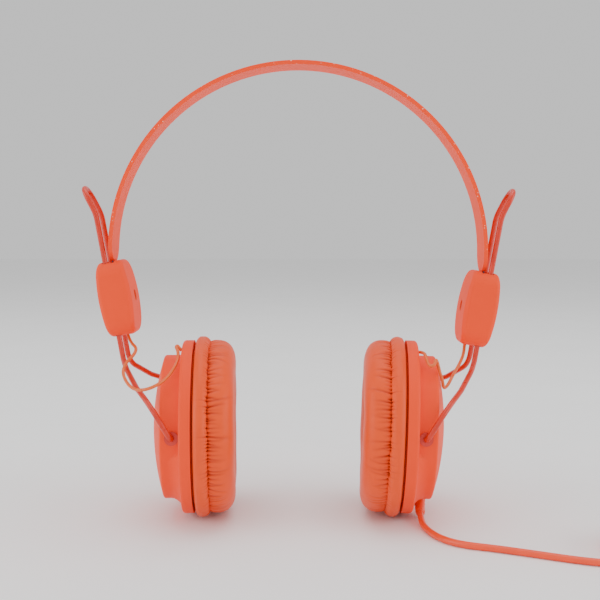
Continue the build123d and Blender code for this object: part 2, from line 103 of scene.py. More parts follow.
# The headband and the flares under the rear housings, in millimetres
BAND_HALF_WIDTH = 7.3
FLARE_HEIGHT = 4.4          # the flare leaves the wall this high above the plate
FLARE_REACH = 2.9           # and is this much wider at the plate
FLARE_EDGE = (7.8, 15.9)    # degrees below the horizontal, at the plate and at its top
FLARE_SOFTNESS = 1.1        # degrees over which its edge rises

# The coil of spare cable, in millimetres
COIL_CENTRE = (121.0, -46.0)
COIL_TURNS = 13.25
COIL_LAYERS = 4
COIL_POINTS = 14            # points in each turn
COIL_INNER = 9.0
COIL_OUTER = 17.0
COIL_FLOOR = 1.75           # height of the lowest turns' middle
COIL_LAYER_STEP = 2.3
COIL_CLIMB = 0.1            # the last share of a layer, where it climbs to the next
COIL_LEAD_OUT = 4           # points at its end that bend toward the tail

# The cushions' covers, in millimetres
EAR_HOLE = 14.2
LIP_RADIUS = 34.0
FOLD_RING = 32.5            # radius on which the folds are spaced
FOLD_REACHES = (2.6, 4.0, 5.5, 6.5, 8.0)
FOLD_WIDTH = 0.24           # half a fold's width at the seam
FOLD_SPREAD = 0.05          # and how much it grows with each millimetre over the crown
FOLD_DEEPEST = 0.65
FOLD_PUFF = (0.26, 0.12)    # how far the cover swells between folds, on the crown and the lip
STUFFING_WAVE = 0.07        # and how uneven the stuffing is, in slow waves
SEAM_FLOOR = 31.35          # radius that the cover keeps outside at the seam
FIRST_SEED = 3              # of the left cushion's folds; the right one's follows

# The camera, in metres and degrees, and the light around it
CAMERA_LENS = 57.6
CAMERA_PLACE = (0, -0.36165, 0.10918)
CAMERA_PITCH = 4.289        # below level
WORLD_STRENGTH = 0.78

SHARP_EDGE = 32             # degrees; a sharper edge of a frame piece stays crisp


def linear(hex_code):
    """Turn an sRGB hex colour into linear RGB."""
    channels = [int(hex_code[start:start + 2], 16) / 255 for start in (0, 2, 4)]
    return tuple(c / 12.92 if c <= 0.04045 else ((c + 0.055) / 1.055) ** 2.4 for c in channels)


def colour_setting(name, description, hex_code):
    """A colour that a user can change, with its default as sRGB hex."""
    return bpy.props.FloatVectorProperty(
        name=name, description=description, subtype="COLOR", min=0, max=1,
        default=linear(hex_code),
    )


def millimetres(name, description, value):
    """A length that a user can change, given in millimetres."""
    return bpy.props.FloatProperty(
        name=name, description=description, default=value * MM, unit="LENGTH", precision=4,
    )


class HeadphoneFinish(bpy.types.PropertyGroup):
    """Colours of the headphones."""

    shell: colour_setting("Shells", "Soft-touch paint on the moulded shells", "FA4206")
    leather: colour_setting("Cushions", "Gathered leatherette", "EC4A02")
    wire: colour_setting("Yoke wires", "Powder coat on the bent wire", "D02806")
    lead: colour_setting("Signal leads", "Jacket of the thin leads", "E4600A")
    cable: colour_setting("Cable", "Jacket of the main cable", "F4440A")
    gap: colour_setting("Gap", "Inner plastic seen beside the cushions", "F00014")


class HeadphoneSizes(bpy.types.PropertyGroup):
    """Sizes of the soft pieces and the cords."""

    cushion_radius: millimetres("Cushion radius", "Radius over the rolled lip", LIP_RADIUS)
    gather_depth: millimetres("Gather depth", "Depth of the folds at the seam", 0.55)
    gathers: bpy.props.IntProperty(
        name="Gathers", description="Folds sewn into the seam", default=135, min=20
    )
    cable_radius: millimetres("Cable radius", "Half the main cable's thickness", 1.2)
    lead_radius: millimetres("Lead radius", "Half a signal lead's thickness", 0.6)


# --- Geometry -----------------------------------------------------------------------------
def joint_named(name):
    """A joint of the frame."""
    return next(joint for joint in frame["joints"] if joint["name"] == name)


def cup_matrix(side):
    """Local X across the cup, Y up it and Z outward, from the middle of the plate's back face."""
    joint = joint_named(f"{side}_cup_tilt")
    across = Vector(joint["axis"]).normalized()
    level = across.cross(Vector((0, 0, 1)))
    lean = math.radians(CUP_LEAN[side])
    outward = level * math.cos(lean) - Vector((0, 0, 1)) * math.sin(lean)
    up = outward.cross(across)
    origin = Vector(joint["pos_m"]) - (up * PIVOT_RISE + outward * PIVOT_BACK) * MM
    matrix = Matrix((across, up, outward)).transposed().to_4x4()
    matrix.translation = origin
    return matrix


def add_piece(name, points, faces, matrix=None, smooth=True):
    """A mesh object from points in millimetres, placed by a matrix."""
    mesh = bpy.data.meshes.new(name)
    mesh.from_pydata([tuple(c * MM for c in point) for point in points], [], faces)
    if matrix is not None:
        mesh.transform(matrix)
    mesh.validate()
    shell = bmesh.new()
    shell.from_mesh(mesh)
    bmesh.ops.recalc_face_normals(shell, faces=shell.faces)
    shell.to_mesh(mesh)
    shell.free()
    mesh.polygons.foreach_set("use_smooth", [smooth] * len(mesh.polygons))
    piece = bpy.data.objects.new(name, mesh)
    bpy.context.scene.collection.objects.link(piece)
    return piece


def grid_faces(rows, columns, close_rows=False):
    """Quads over a grid of points stored row by row, closed around its columns."""
    faces = []
    for row in range(rows if close_rows else rows - 1):
        below = (row + 1) % rows
        for column in range(columns):
            beside = (column + 1) % columns
            faces.append((
                row * columns + column, row * columns + beside,
                below * columns + beside, below * columns + column,
            ))
    return faces


def lathe(name, profile, matrix, steps, shape=None):
    """A profile of (radius, height) turned about local Z; shape may move each radius."""
    points = []
    for radius, height in profile:
        for step in range(steps):
            turn = 2 * math.pi * step / steps
            reach = radius if shape is None else shape(radius, height, turn)
            points.append((reach * math.cos(turn), reach * math.sin(turn), height))
    return add_piece(name, points, grid_faces(len(profile), steps), matrix)


def routed_curve(name, points):
    """An open NURBS curve, in metres, pulled by points in millimetres."""
    data = bpy.data.curves.new(name, "CURVE")
    data.dimensions = "3D"
    spline = data.splines.new("NURBS")
    spline.points.add(len(points) - 1)
    for control, point in zip(spline.points, points):
        control.co = (point[0] * MM, point[1] * MM, point[2] * MM, 1)
    spline.order_u = 3
    spline.use_endpoint_u = True
    spline.resolution_u = 10
    piece = bpy.data.objects.new(name, data)
    bpy.context.scene.collection.objects.link(piece)
    return piece


def read_line(points):
    """The points, in metres, of the smooth line that a route's curve follows."""
    curve = routed_curve("route_reader", points)
    bpy.context.view_layer.update()
    seen = bpy.data.meshes.new_from_object(curve)
    line = [vertex.co.copy() for vertex in seen.vertices]
    bpy.data.meshes.remove(seen)
    bpy.data.objects.remove(curve)
    return line


def tube(name, line, radius, sides):
    """A closed tube around a line in metres; radius is a length or a function of the share run."""
    runs = [0.0]
    for before, after in zip(line, line[1:]):
        runs.append(runs[-1] + (after - before).length)
    points, side = [], None
    for index, centre in enumerate(line):
        ahead = line[min(index + 1, len(line) - 1)] - line[max(index - 1, 0)]
        ahead.normalize()
        side = ahead.orthogonal() if side is None else side - ahead * side.dot(ahead)
        side.normalize()
        other = ahead.cross(side)
        share = runs[index] / runs[-1]
        size = radius(share) if callable(radius) else radius
        for step in range(sides):
            turn = 2 * math.pi * step / sides
            place = centre + (side * math.cos(turn) + other * math.sin(turn)) * size
            points.append(tuple(place / MM))
    faces = grid_faces(len(line), sides)
    faces.append(tuple(range(sides)))
    faces.append(tuple(range(len(points) - sides, len(points))))
    return add_piece(name, points, faces)


def dress(piece, body, slot, *stands_for):
    """Give a piece its body and its slot's finish, and hide the nodes that it stands for."""
    piece.data.materials.append(material_for(slot))
    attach(piece, body)
    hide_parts(*stands_for)
    return piece


# --- Materials ----------------------------------------------------------------------------
def per_mm(size):
    """The texture scale that draws a pattern of this many millimetres."""
    return 1 / (size * MM)


def node(tree, kind, settings=None, links=None):
    """Add a node, set its values and link its inputs."""
    made = tree.nodes.new(kind)
    for key, value in (settings or {}).items():
        if key in made.inputs:
            made.inputs[key].default_value = value
        else:
            setattr(made, key, value)
    for key, source in (links or {}).items():
        tree.links.new(source, made.inputs[key])
    return made


def surface(name, **sockets):
    """A new material with its Principled shader's own values set."""
    material = bpy.data.materials.new(name)
    material.use_nodes = True
    tree = material.node_tree
    shader = tree.nodes["Principled BSDF"]
    for key, value in sockets.items():
        label = key.replace("_", " ").title().replace("Ior", "IOR")
        shader.inputs[label].default_value = value
    place = node(tree, "ShaderNodeTexCoord").outputs["Object"]
    return material, tree, shader, place


def mottle(tree, shader, place, colour, other, size):
    """Drift the base colour between two near colours over patches of this size in mm."""
    cloud = node(tree, "ShaderNodeTexNoise", {"Scale": per_mm(size), "Detail": 4},
                 {"Vector": place})
    ramp = node(tree, "ShaderNodeValToRGB", links={"Fac": cloud.outputs["Fac"]})
    ramp.color_ramp.elements[0].position = 0.3
    ramp.color_ramp.elements[1].position = 0.7
    ramp.color_ramp.elements[0].color = (*colour, 1)
    ramp.color_ramp.elements[1].color = (*other, 1)
    tree.links.new(ramp.outputs["Color"], shader.inputs["Base Color"])
    return ramp


def rough_patches(tree, shader, place, size, less=0.06, more=0.08):
    """Vary the finish's own roughness, down and up, over patches of this size in mm."""
    middle = shader.inputs["Roughness"].default_value
    cloud = node(tree, "ShaderNodeTexNoise", {"Scale": per_mm(size), "Detail": 3},
                 {"Vector": place})
    spread = node(tree, "ShaderNodeMapRange", {"To Min": middle - less, "To Max": middle + more},
                  {"Value": cloud.outputs["Fac"]})
    tree.links.new(spread.outputs["Result"], shader.inputs["Roughness"])


def relief(tree, shader, height, depth, strength, below=None):
    """Bump the surface by a height output, this many millimetres deep, over another bump."""
    links = {"Height": height}
    if below is not None:
        links["Normal"] = below
    bump = node(tree, "ShaderNodeBump", {"Distance": depth * MM, "Strength": strength}, links)
    tree.links.new(bump.outputs["Normal"], shader.inputs["Normal"])
    return bump.outputs["Normal"]


def tint(colour, amount):
    """A colour made lighter or darker by a factor."""
    return tuple(min(1.0, channel * amount) for channel in colour)


def soft_touch_abs(colour):
    """ABS, moulded, then sprayed with soft-touch paint."""
    # A velvety matt skin: no mirror highlight, a faint bloom where it is seen edge on, and the
    # finest grain of dried spray. Spray grain is about 0.1 mm; it is drawn at 0.35 mm to show.
    material, tree, shader, place = surface(
        "ABS, soft-touch painted", roughness=0.55, ior=1.46, sheen_weight=0.02,
        sheen_roughness=0.35, specular_ior_level=0.3,
    )
    shader.inputs["Sheen Tint"].default_value = (1.0, 0.82, 0.70, 1)
    mottle(tree, shader, place, tint(colour, 0.97), tint(colour, 1.03), 18)
    rough_patches(tree, shader, place, 4, 0.05, 0.07)
    grain = node(tree, "ShaderNodeTexNoise", {"Scale": per_mm(0.35), "Detail": 2},
                 {"Vector": place})
    relief(tree, shader, grain.outputs["Fac"], 0.02, 0.5)
    return material


def band_rubber_paint(colour):
    """Thermoplastic strip with rubberised paint."""
    # As the shells, with chips and flash along its two narrow edges: a few small pale specks.
    material, tree, shader, place = surface(
        "TPU strip, rubberised paint", roughness=0.52, ior=1.46, sheen_weight=0.02,
        sheen_roughness=0.35, specular_ior_level=0.3,
    )
    shader.inputs["Sheen Tint"].default_value = (1.0, 0.82, 0.70, 1)
    ramp = mottle(tree, shader, place, tint(colour, 0.96), tint(colour, 1.03), 15)
    rough_patches(tree, shader, place, 3)
    split = node(tree, "ShaderNodeSeparateXYZ", links={"Vector": place})
    width = node(tree, "ShaderNodeMath", {"operation": "ABSOLUTE"},
                 {0: split.outputs["Y"]})
    edge = node(tree, "ShaderNodeMapRange",
                {"From Min": (BAND_HALF_WIDTH - 0.3) * MM, "From Max": (BAND_HALF_WIDTH - 0.02) * MM},
                {"Value": width.outputs["Value"]})
    specks = node(tree, "ShaderNodeTexNoise", {"Scale": per_mm(0.9), "Detail": 3},
                  {"Vector": place})
    chosen = node(tree, "ShaderNodeMapRange", {"From Min": 0.66, "From Max": 0.71},
                  {"Value": specks.outputs["Fac"]})
    both = node(tree, "ShaderNodeMath", {"operation": "MULTIPLY"},
                {0: edge.outputs["Result"], 1: chosen.outputs["Result"]})
    mix = node(tree, "ShaderNodeMix", {"data_type": "RGBA"}, {"Factor": both.outputs["Value"]})
    tree.links.new(ramp.outputs["Color"], mix.inputs["A"])
    mix.inputs["B"].default_value = (1.0, 0.72, 0.55, 1)
    tree.links.new(mix.outputs["Result"], shader.inputs["Base Color"])
    grain = node(tree, "ShaderNodeTexNoise", {"Scale": per_mm(0.4), "Detail": 2},
                 {"Vector": place})
    relief(tree, shader, grain.outputs["Fac"], 0.02, 0.5)
    return material


def gathered_leatherette(colour):
    """Polyurethane leatherette, embossed and gathered."""
    # A soft satin skin: embossed pores about 0.5 mm across, an uneven stretch over about 1 mm,
    # and painted shade: a deeper colour in the creases of the folds and along the seam.
    material, tree, shader, place = surface(
        "PU leatherette, embossed", roughness=0.46, ior=1.5, sheen_weight=0.03,
        sheen_roughness=0.5, specular_ior_level=0.3,
    )
    # Painted shade: the fold attribute mixes a dark red into the creases and along the seam line
    fold = node(tree, "ShaderNodeAttribute", {"attribute_name": "fold"})
    cloud = node(tree, "ShaderNodeTexNoise", {"Scale": per_mm(7), "Detail": 4}, {"Vector": place})
    drift = node(tree, "ShaderNodeMix", {"data_type": "RGBA"}, {"Factor": cloud.outputs["Fac"]})
    drift.inputs["A"].default_value = (*tint(colour, 0.94), 1)
    drift.inputs["B"].default_value = (*tint(colour, 1.06), 1)
    shade = node(tree, "ShaderNodeMix", {"data_type": "RGBA"}, {"Factor": fold.outputs["Fac"]})
    tree.links.new(drift.outputs["Result"], shade.inputs["A"])
    shade.inputs["B"].default_value = (*linear("9A1802"), 1)
    tree.links.new(shade.outputs["Result"], shader.inputs["Base Color"])
    rough_patches(tree, shader, place, 3)
    pores = node(tree, "ShaderNodeTexVoronoi", {"Scale": per_mm(0.5)}, {"Vector": place})
    lines = node(tree, "ShaderNodeTexNoise", {"Scale": per_mm(0.9), "Detail": 5},
                 {"Vector": place})
    first = relief(tree, shader, pores.outputs["Distance"], 0.03, 0.35)
    relief(tree, shader, lines.outputs["Fac"], 0.06, 0.35, first)
    return material


def powder_coated_wire(colour):
    """Steel wire, bent, then powder coated."""
    # A thick semi-gloss skin with a faint orange peel about 1 mm across, under a thin coat.
    material, tree, shader, place = surface(
        "Steel wire, powder coated", roughness=0.28, ior=1.52, coat_weight=0.12,
        coat_roughness=0.15, specular_ior_level=0.4,
    )
    mottle(tree, shader, place, tint(colour, 0.92), tint(colour, 1.06), 6)
    rough_patches(tree, shader, place, 2)
    peel = node(tree, "ShaderNodeTexNoise", {"Scale": per_mm(1.0), "Detail": 2},
                {"Vector": place})
    relief(tree, shader, peel.outputs["Fac"], 0.02, 0.4)
    return material


def flexible_pvc(name, colour, ripple):
    """Flexible PVC jacket, extruded over its conductors."""
    # Satin, with the twist of the conductors showing through as a faint ripple.
    material, tree, shader, place = surface(
        name, roughness=0.38, ior=1.53, specular_ior_level=0.5, coat_weight=0.08,
        coat_roughness=0.3,
    )
    mottle(tree, shader, place, tint(colour, 0.94), tint(colour, 1.05), 5)
    rough_patches(tree, shader, place, 2)
    twist = node(tree, "ShaderNodeTexNoise", {"Scale": per_mm(ripple), "Detail": 1},
                 {"Vector": place})
    relief(tree, shader, twist.outputs["Fac"], 0.08, 0.5)
    return material


def plain_moulding(name, colour, roughness):
    """A moulded plastic or rubber with a fine texture."""
    # Even, slightly cloudy, with the grain of the mould, about 0.4 mm.
    material, tree, shader, place = surface(name, roughness=roughness, ior=1.5)
    mottle(tree, shader, place, tint(colour, 0.9), tint(colour, 1.08), 6)
    rough_patches(tree, shader, place, 2)
    texture = node(tree, "ShaderNodeTexNoise", {"Scale": per_mm(0.4), "Detail": 2},
                   {"Vector": place})
    relief(tree, shader, texture.outputs["Fac"], 0.03, 0.4)
    return material


def plated_metal(name, colour, roughness, streak):
    """A plated or drawn metal."""
    # Bright, with fine drawing lines that blur its reflections one way.
    material, tree, shader, place = surface(name, roughness=roughness, metallic=1.0)
    mottle(tree, shader, place, tint(colour, 0.93), tint(colour, 1.04), 4)
    stretch = node(tree, "ShaderNodeMapping", {"Scale": (1, 1, 0.12)}, {"Vector": place})
    lines = node(tree, "ShaderNodeTexNoise", {"Scale": per_mm(streak), "Detail": 3},
                 {"Vector": stretch.outputs["Vector"]})
    spread = node(tree, "ShaderNodeMapRange",
                  {"To Min": roughness - 0.08, "To Max": roughness + 0.1},
                  {"Value": lines.outputs["Fac"]})
    tree.links.new(spread.outputs["Result"], shader.inputs["Roughness"])
    relief(tree, shader, lines.outputs["Fac"], 0.01, 0.3)
    return material


def open_cell_foam(colour):
    """Polyurethane foam, cut."""
    # Dry and full of 0.6 mm cells.
    material, tree, shader, place = surface("PU foam, open cell", roughness=0.95, ior=1.4)
    mottle(tree, shader, place, tint(colour, 0.85), tint(colour, 1.05), 2)
    cells = node(tree, "ShaderNodeTexVoronoi", {"Scale": per_mm(0.6)}, {"Vector": place})
    relief(tree, shader, cells.outputs["Distance"], 0.2, 0.8)
    return material


def knitted_cloth(name, colour, thread):
    """Polyester cloth, knitted or woven."""
    # Two crossing rows of threads, with a soft fuzz. A wave of scale 1 repeats every 0.314, so
    # dividing the thread's scale by 6.28 makes each ridge, and each gap, one thread wide.
    material, tree, shader, place = surface(
        name, roughness=0.85, ior=1.45, sheen_weight=0.3, sheen_roughness=0.5,
    )
    mottle(tree, shader, place, tint(colour, 0.85), tint(colour, 1.1), thread * 3)
    heights = []
    for direction in ("Y", "Z"):
        wave = node(tree, "ShaderNodeTexWave",
                    {"bands_direction": direction, "Scale": per_mm(thread) / 6.28},
                    {"Vector": place})
        heights.append(wave.outputs["Fac"])
    both = node(tree, "ShaderNodeMath", {"operation": "MULTIPLY"},
                {0: heights[0], 1: heights[1]})
    relief(tree, shader, both.outputs["Value"], 0.15, 0.7)
    return material


def make_materials():
    """Every finish, by the name of its slot in the record."""
    finish = bpy.context.scene.headphone_finish
    shell = tuple(finish.shell)
    return {
        "soft_touch_plastic": soft_touch_abs(shell),
        "band_coating": band_rubber_paint(shell),
        "cushion_leatherette": gathered_leatherette(tuple(finish.leather)),
        "coated_wire": powder_coated_wire(tuple(finish.wire)),
        "lead_jacket": flexible_pvc("PVC lead jacket", tuple(finish.lead), 0.8),
        "cable_jacket": flexible_pvc("PVC cable jacket", tuple(finish.cable), 1.6),
        "foam": open_cell_foam(linear("D8C49A")),
        "inner_plastic": plain_moulding("ABS, moulded", tuple(finish.gap), 0.45),
        "scrim_cloth": knitted_cloth("Polyester scrim, knitted", linear("B85A2E"), 0.5),
        "driver_film": plain_moulding("Polyester film", linear("D8D2C0"), 0.3),
        "magnet_steel": plated_metal("Steel, nickel plated", linear("B4B2AC"), 0.3, 0.3),
        "screw_steel": plated_metal("Steel, zinc plated", linear("A8A9A4"), 0.35, 0.2),
        "bush_plastic": plain_moulding("Acetal, moulded", linear("CC3024"), 0.42),
        "friction_rubber": plain_moulding("Silicone, moulded", linear("5A3A34"), 0.7),
        "spring_steel": plated_metal("Spring steel, blued", linear("5C6068"), 0.38, 0.4),
        "circuit_board": plain_moulding("Laminate, solder masked", linear("1F6B3A"), 0.4),
        "tie_strap": knitted_cloth("Hook-and-loop strap, woven", linear("2A2626"), 0.7),
        "plug_plastic": plain_moulding("PVC, moulded", tuple(finish.cable), 0.42),
        "jack_metal": plated_metal("Brass, gold flashed", linear("E3C36B"), 0.2, 0.2),
    }


MATERIALS = {}


def material_for(slot):
    """The finish of a slot, made the first time that it is asked for."""
    if not MATERIALS:
        MATERIALS.update(make_materials())
    return MATERIALS[slot]


# --- Operators ----------------------------------------------------------------------------
class HEADPHONES_OT_stage(bpy.types.Operator):
    """Set the camera, the soft studio light and the pale floor"""

    bl_idname = "headphones.stage"
    bl_label = "Stage and camera"

    def execute(self, context):
        scene = context.scene
        camera_data = bpy.data.cameras.new("camera")
        camera_data.lens = CAMERA_LENS
        camera_data.sensor_width = 36
        camera_data.clip_start = 0.01
        camera = bpy.data.objects.new("camera", camera_data)
        camera.location = CAMERA_PLACE
        camera.rotation_euler = (math.radians(90 - CAMERA_PITCH), 0, 0)
        scene.collection.objects.link(camera)
        scene.camera = camera

        world = bpy.data.worlds.new("studio")
        world.use_nodes = True
        sky = world.node_tree.nodes["Background"]
        sky.inputs["Color"].default_value = (1, 1, 1, 1)
        sky.inputs["Strength"].default_value = WORLD_STRENGTH
        scene.world = world

        # Name, place and size in metres, and watts
        lights = (
            ("left_light", (-0.95, -0.30, 0.25), 0.9, 6.0),
            ("right_light", (0.95, -0.30, 0.25), 0.9, 6.0),
            ("front_light", (-0.1, -1.1, 0.7), 0.8, 1.5),
            ("top_light", (0.0, 0.05, 1.0), 0.9, 5.0),
        )
        aim = Vector((0, 0, 0.08))
        for name, place, size, power in lights:
            data = bpy.data.lights.new(name, "AREA")
            data.size = size
            data.energy = power
            lamp = bpy.data.objects.new(name, data)
            lamp.location = place
            lamp.rotation_euler = (aim - Vector(place)).to_track_quat("-Z", "Y").to_euler()
            scene.collection.objects.link(lamp)

        reach = 3000
        corners = [(-reach, -reach, 0), (reach, -reach, 0), (reach, reach, 0), (-reach, reach, 0)]
        floor = add_piece("floor", corners, [(0, 1, 2, 3)], smooth=False)
        material, tree, shader, place = surface("Paper backdrop, matt", roughness=0.9)
        mottle(tree, shader, place, (0.93, 0.93, 0.93), (0.95, 0.95, 0.95), 60)
        floor.data.materials.append(material)
        return {"FINISHED"}


class HEADPHONES_OT_cable(bpy.types.Operator):
    """Lay the cable, wind its spare length into a coil and tie it"""

    bl_idname = "headphones.cable"
    bl_label = "Cable, coil and plug"

    def execute(self, context):
        sizes = context.scene.headphone_sizes
        route = CABLE_ROUTE + self.turns() + TAIL_ROUTE
        cable = routed_curve("cable", route)
        cable.data.bevel_depth = sizes.cable_radius
        cable.data.bevel_resolution = 6
        cable.data.use_fill_caps = True
        dress(cable, "right_cup", "cable_jacket", "main_cable", "cable_coil", "cable_tail")
        pieces = [self.strap(), self.plug(), self.jack(), self.boot()]
        return {"FINISHED"}

    @staticmethod
    def turns():
        """The coil's points: layer on layer, each wound in or out."""
        total = int(COIL_TURNS * COIL_POINTS)
        points = []
        for index in range(1, total):
            share = index / total
            layer = min(int(share * COIL_LAYERS), COIL_LAYERS - 1)
            within = share * COIL_LAYERS - layer
            inward = within if layer % 2 == 0 else 1 - within
            radius = COIL_OUTER + (COIL_INNER - COIL_OUTER) * inward
            climb = 0.0
            if layer < COIL_LAYERS - 1:
                climb = max(0.0, (within - (1 - COIL_CLIMB)) / COIL_CLIMB)
            height = COIL_FLOOR + COIL_LAYER_STEP * (layer + climb)
            turn = -math.pi / 2 + 2 * math.pi * index / COIL_POINTS
            leaving = max(0, COIL_LEAD_OUT - (total - index))
            radius += 0.5 * leaving
            height -= 0.6 * leaving
            points.append((
                COIL_CENTRE[0] + radius * math.cos(turn),
                COIL_CENTRE[1] + radius * math.sin(turn), height,
            ))
        return points

    @staticmethod
    def strap():
        """A flat strap around the coil's section, with rounded corners."""
        middle = Vector((COIL_CENTRE[0], COIL_CENTRE[1] + (COIL_INNER + COIL_OUTER) / 2, 5.2))
        half_width, half_height, half_strap, thickness = 5.8, 5.15, 2.5, 0.5
        steps = 48
        squareness = 0.32       # 1 would be an ellipse, 0 a rectangle
        profile = []
        for step in range(steps):
            turn = 2 * math.pi * step / steps
            c, s = math.cos(turn), math.sin(turn)
            profile.append((half_width * math.copysign(abs(c) ** squareness, c),
                            half_height * math.copysign(abs(s) ** squareness, s)))
        points = []
        for offset, inset in ((-half_strap, 0.0), (half_strap, 0.0),
                              (half_strap, thickness), (-half_strap, thickness)):
            scale = 1 - inset / half_height
            for y, z in profile:
                points.append((middle.x + offset, middle.y + y * scale, middle.z + z * scale))
        strap = add_piece("cable_strap", points, grid_faces(4, steps, close_rows=True))
        bevel = strap.modifiers.new("soft_edges", "BEVEL")
        bevel.width = 0.1 * MM
        bevel.limit_method = "ANGLE"
        return dress(strap, "right_cup", "tie_strap", "cable_tie")

    @staticmethod
    def turned_piece(name, node_name, profile, steps, slot):
        """A profile turned about the line of a node that lies along Y, in that node's place."""
        low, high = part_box(node_name)
        matrix = Matrix.Rotation(-math.pi / 2, 4, "X")
        matrix.translation = ((low.x + high.x) / 2, low.y, (low.z + high.z) / 2)
        return dress(lathe(name, profile, matrix, steps), "right_cup", slot, node_name)

    def plug(self):
        """The plug's moulded body: ribbed where the cable enters, then a smooth grip."""
        low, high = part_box("plug_body")
        length = (high.y - low.y) / MM
        profile = [(0.0, 0.0), (1.25, 0.0)]
        for rib in range(5):
            start = 0.2 + rib * 1.5
            grow = 1.55 + rib * 0.2
            profile += [(grow, start), (grow + 0.18, start + 0.25), (grow + 0.18, start + 0.75),
                        (grow, start + 1.0)]
        profile += [(2.7, 8.2), (3.0, 8.8), (3.1, 9.8), (3.1, 12.0), (2.95, 14.5), (3.0, 17.5),
                    (3.1, 19.4), (3.05, 20.3), (2.75, length - 0.25), (2.3, length), (0.0, length)]
        return self.turned_piece("plug_grip", "plug_body", profile, 48, "plug_plastic")

    def jack(self):
        """The stereo jack's contacts, with grooves for the insulating rings."""
        profile = [(0.0, 0.0), (1.75, 0.0), (1.75, 5.0), (1.62, 5.1), (1.62, 5.7), (1.75, 5.8),
                   (1.75, 8.3), (1.62, 8.4), (1.62, 9.0), (1.75, 9.1), (1.75, 9.7), (1.3, 10.6),
                   (1.35, 10.9), (1.75, 11.6), (1.62, 12.1), (0.55, 13.8), (0.25, 14.0),
                   (0.0, 14.0)]
        return self.turned_piece("jack_pin", "jack_contacts", profile, 40, "jack_metal")

    @staticmethod
    def boot():
        """The tapered, ribbed boot where the cable leaves the right cup."""
        wide, taper, rib = 2.15, 0.5, 0.12
        plain_share = 0.35      # the collar at the cup has no ribs

        def size(share):
            """Half the boot's thickness at a share of its run."""
            wave = max(0.0, math.sin(share * math.pi * 10)) if share > plain_share else 1.0
            return (wide - taper * share + rib * wave) * MM

        boot = tube("cable_boot", read_line(BOOT_ROUTE), size, 24)
        return dress(boot, "right_cup", "cable_jacket", "strain_relief")


class HEADPHONES_OT_leads(bpy.types.Operator):
    """Run the thin signal leads from the sliders into the cups"""

    bl_idname = "headphones.leads"
    bl_label = "Signal leads"

    def execute(self, context):
        radius = context.scene.headphone_sizes.lead_radius
        for side in SIDES:
            line = read_line(LEAD_ROUTES[side])
            split = int(len(line) * LEAD_SPLIT[side])
            upper_line, lower_line = line[:split + 1], line[split:]
            upper = self.half(f"{side}_lead_upper", upper_line, radius)
            lower = self.half(f"{side}_lead_lower", lower_line, radius)
            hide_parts(f"{side}_signal_lead")
            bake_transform(upper)
            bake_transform(lower)
        return {"FINISHED"}

    @staticmethod
    def half(name, line, radius):
        """One stretch of lead, with its finish."""
        piece = tube(name, line, radius, 14)
        piece.data.materials.append(material_for("lead_jacket"))
        return piece


